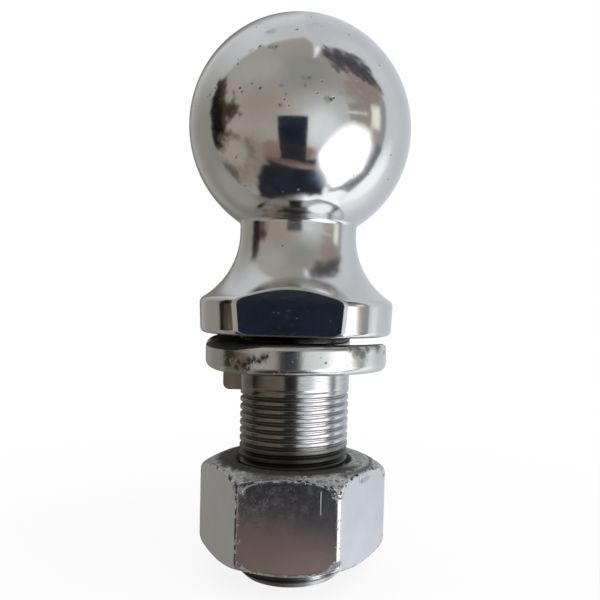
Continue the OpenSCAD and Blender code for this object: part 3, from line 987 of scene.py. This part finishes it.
    # The dark front edge under the camera.
    front = [(-96, -60), (-66, -48), (-48, -40), (-22, -38), (4, -40), (28, -50), (44, -58), (66, -68)]
    front += [(40, -76), (0, -78), (-60, -76), (-90, -68)]
    front = inside((az + broad1 * 9, el + broad2 * 5), front, 7)
    teal = (smooth(8, 34, az) * smooth(-66, -54, el))[..., None]
    navy = (tone(38, 40, 46) * (1 - teal) + tone(74, 96, 110) * teal) * (0.6 + 0.8 * speckle)
    paint(feather(patch(plain, (-6, -36), (34, 9), 0.6), grain, 0.8) * 0.85, (108, 94, 88))
    paint(feather(patch(plain, (-30, -31), (13, 11), 0.6), grain, 0.8) * 0.8, (116, 96, 88))
    paint(feather(patch(wavy, (-46, -56), (26, 9)), slant, 1.2) * 0.8, (62, 56, 48))
    c[...] = lay(c, feather(front, grain, 0.3), navy)
    rim = [(66, -64), (78, -56), (88, -44), (93, -28), (93, -8), (85, -8), (84, -26), (80, -40), (72, -52)]
    rim = inside(plain, rim + [(62, -60)], 3)
    paint(feather(rim, grain, 0.8) * 0.9, (92, 100, 112))

    # The bright window and the glow round it.
    halo = [(18, -36), (36, -14), (60, -6), (80, -12), (84, -30), (76, -50), (60, -62), (44, -58)]
    paint(inside(plain, halo + [(26, -46)], 9) * 0.75, (206, 210, 214))
    window = [(22, -34), (24, -28), (34, -15), (44, -5), (53, -1), (63, -1), (73, -4), (78, -12), (80, -23)]
    window += [(82, -33), (75, -43), (72, -51), (66, -57), (50, -56), (34, -48), (26, -42)]
    window = inside((az + broad1 * 3, el + broad2 * 3), window, 3 + 3 * smooth(-30, -10, el))
    c[...] = lay(c, window, (2.3, 2.3, 2.32))
    return lay(c, patch(plain, (118, -62), (26, 5)), (1.6, 1.6, 1.62))


def glowing(name, points, faces, color):
    """A sheet that shines with the colour given for each point. It stands outside the picture and shows
    only in the metal."""
    mesh = bpy.data.meshes.new(name)
    mesh.from_pydata(points.reshape(-1, 3).tolist(), [], faces)
    color = np.insert(color.reshape(-1, 3), 3, 1, axis=1)
    layer = mesh.attributes.new("glow", "FLOAT_COLOR", "POINT")
    layer.data.foreach_set("color", color.astype(np.float32).reshape(-1))
    g = new_material(name + "_cloth")
    glow = g.node("Attribute", attribute_name="glow").outputs["Color"]
    mesh.materials.append(g.show(g.node("Emission", {"Color": glow, "Strength": 1})))
    g.owner.cycles.emission_sampling = "NONE"
    obj = linked(name, mesh)
    for way in ("camera", "diffuse", "transmission", "volume_scatter", "shadow"):
        setattr(obj, "visible_" + way, False)


def tent():
    """A closed sphere round the ball, with its finest rows from 72 degrees down to 60 up."""
    az = np.radians(np.linspace(-180, 180, 432, endpoint=False))
    rows = [np.linspace(-89.7, -74, 8), np.linspace(-72, 60, 174), np.linspace(62, 89.7, 15)]
    el, az = np.meshgrid(np.radians(np.concatenate(rows)), az, indexing="ij")
    d = np.stack([np.cos(el) * np.sin(az), -np.cos(el) * np.cos(az), np.sin(el)], -1)
    grid = np.arange(el.size).reshape(el.shape)
    beside = np.roll(grid, -1, 1)
    faces = np.stack([grid[:-1], grid[1:], beside[1:], beside[:-1]], -1).reshape(-1, 4).tolist()
    faces += [grid[-1].tolist(), grid[0, ::-1].tolist()]
    glowing("tent", np.array([0, 0, BALL_Z * MM]) + d * TENT_RADIUS, faces, tent_color(d))


def card(name, x0, x1, z0, z1, color):
    """An upright card that faces the object. color takes x and z in mm and gives the card's light."""
    x, z = np.meshgrid(np.linspace(x0, x1, 41), np.linspace(z0, z1, 41))
    grid = np.arange(x.size).reshape(x.shape)
    faces = np.stack([grid[:-1, :-1], grid[:-1, 1:], grid[1:, 1:], grid[1:, :-1]], -1).reshape(-1, 4)
    glowing(name, np.stack([x, 0 * x + CARD_Y, z], -1) * MM, faces.tolist(), color(x, z))


def camera_card_color(x, z):
    speckle = layered(np.stack([x * 0.1, z * 0.1, 0 * x], -1), 2)[..., None]
    blue = smooth(-34, -6, z)[..., None]
    deep = 1 - 0.35 * smooth(26, 16, z)[..., None] * blue
    ground = np.array([0.03, 0.031, 0.036]) * (1 - blue) + np.array([0.022, 0.032, 0.056]) * blue
    return ground * (0.5 + speckle) * deep


def low_card_color(x, z):
    grain = layered(np.stack([x * 0.5, z * 0.5, 0 * x], -1), 0.35)
    slate = smooth(-5, 5, z + 88 + 0.3 * (x + 11) + (grain - 0.5) * 8)[..., None]
    light = smooth(-90, -122, z)[..., None]
    brown = np.array([0.175, 0.12, 0.108]) + np.array([0.12, 0.1, 0.088]) * light
    brown = brown * (1 + 0.35 * smooth(-34, 16, x))[..., None]
    c = brown * (1 - slate) + np.array([0.036, 0.044, 0.056]) * slate
    c = lay(c, smooth(-116, -130, z + 0.2 * x), (0.03, 0.031, 0.037))
    c = lay(c, smooth(-110, -148, x), tone(120, 112, 104))
    return c * (0.8 + 0.4 * grain[..., None])


tent()
# Two plain dark cards just behind the camera: one round it, one below.
card("camera_card", -60, 19, -82, 47, camera_card_color)
card("low_card", -150, 55, -134, -82, low_card_color)

softbox = bpy.data.lights.new("softbox", "AREA")
softbox.shape = "SQUARE"
softbox.size = 0.6
softbox.energy = 2.4
lamp = linked("softbox", softbox)
lamp.location = (0.35, -0.35, 0.6)
lamp.rotation_euler = (-lamp.location).to_track_quat("-Z", "Y").to_euler()
lamp.visible_glossy = False

# Camera, fitted to the photograph

# Turn in degrees, place in metres, focal length and picture in pixels, sensor in millimetres, and the
# view's shift as a share of the picture.
YAW, TILT, ROLL = (math.radians(v) for v in (2.2, -2.418, -1.493))
CAMERA_AT = (0.00182, -0.15953, 0.00771)
FOCAL_LENGTH, PICTURE_WIDTH, SENSOR_WIDTH = 678.8, 600, 36
VIEW_SHIFT = 0.05

forward = Vector((math.sin(YAW) * math.cos(TILT), math.cos(YAW) * math.cos(TILT), math.sin(TILT)))
level_right = forward.cross(Vector((0, 0, 1))).normalized()
level_down = forward.cross(level_right)
right = math.cos(ROLL) * level_right + math.sin(ROLL) * level_down
up = math.sin(ROLL) * level_right - math.cos(ROLL) * level_down
lens = bpy.data.cameras.new("camera")
lens.sensor_width = SENSOR_WIDTH
lens.lens = FOCAL_LENGTH / PICTURE_WIDTH * SENSOR_WIDTH
lens.shift_x = -VIEW_SHIFT
lens.shift_y = VIEW_SHIFT
lens.clip_start = 0.01
camera = linked("camera", lens)
turned_view = Matrix((right, up, -forward)).transposed().to_4x4()
camera.matrix_world = Matrix.Translation(Vector(CAMERA_AT)) @ turned_view
scene.camera = camera
